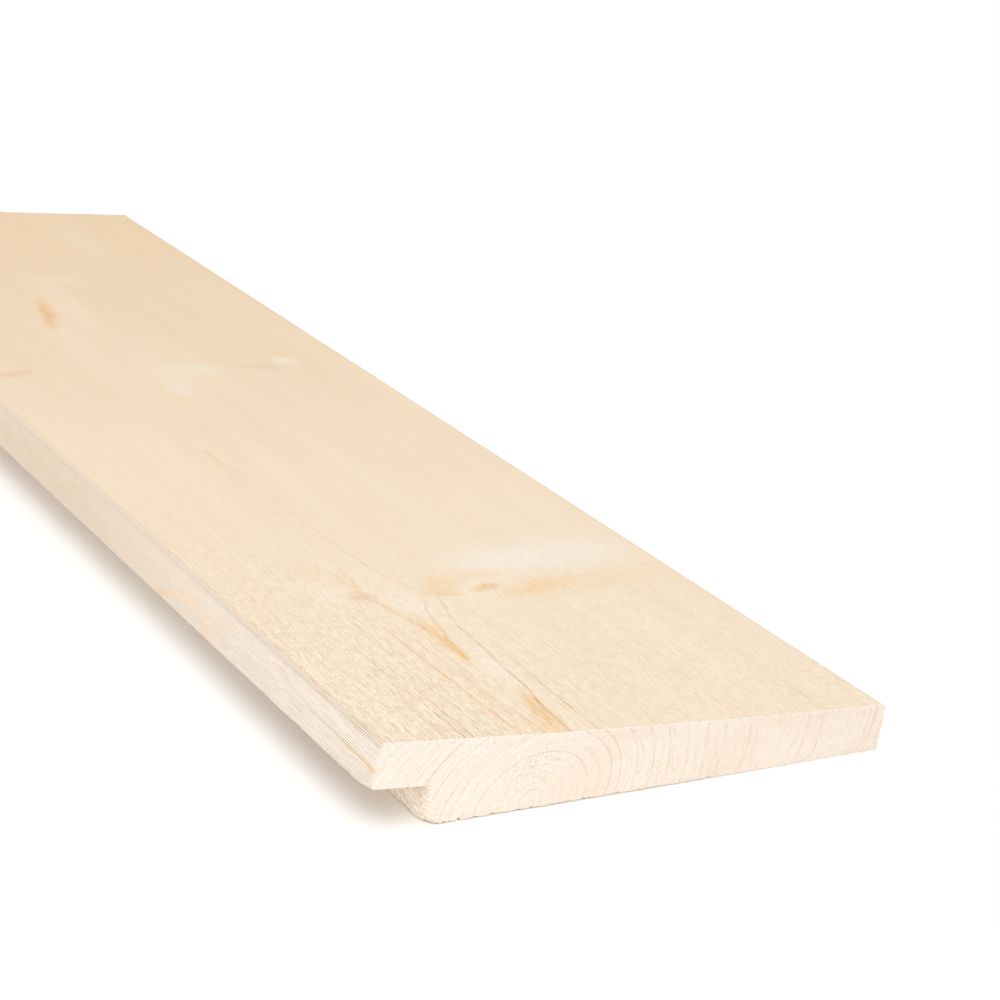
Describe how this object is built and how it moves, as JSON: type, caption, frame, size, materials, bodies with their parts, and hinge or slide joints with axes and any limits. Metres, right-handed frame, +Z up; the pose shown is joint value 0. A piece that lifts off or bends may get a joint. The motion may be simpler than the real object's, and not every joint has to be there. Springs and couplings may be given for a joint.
{
  "type": "weatherboard",
  "caption": "Rebated softwood weatherboard, tapered across its width, with a lip and rebate along the thick edge that laps over the thin edge of the next board.",
  "frame": {"origin": "on the sawn back, straight below the middle of the face, at half the length", "axes": "+X across the width from the lip to the thin edge, +Y along the grain, +Z up from the back to the weather face"},
  "size_m": [0.1404, 0.5, 0.0218],
  "materials": {
    "spruce": "planed face and edges, sawn back, unfinished"
  },
  "bodies": {
    "root": {"board": "spruce"}
  },
  "joints": []
}
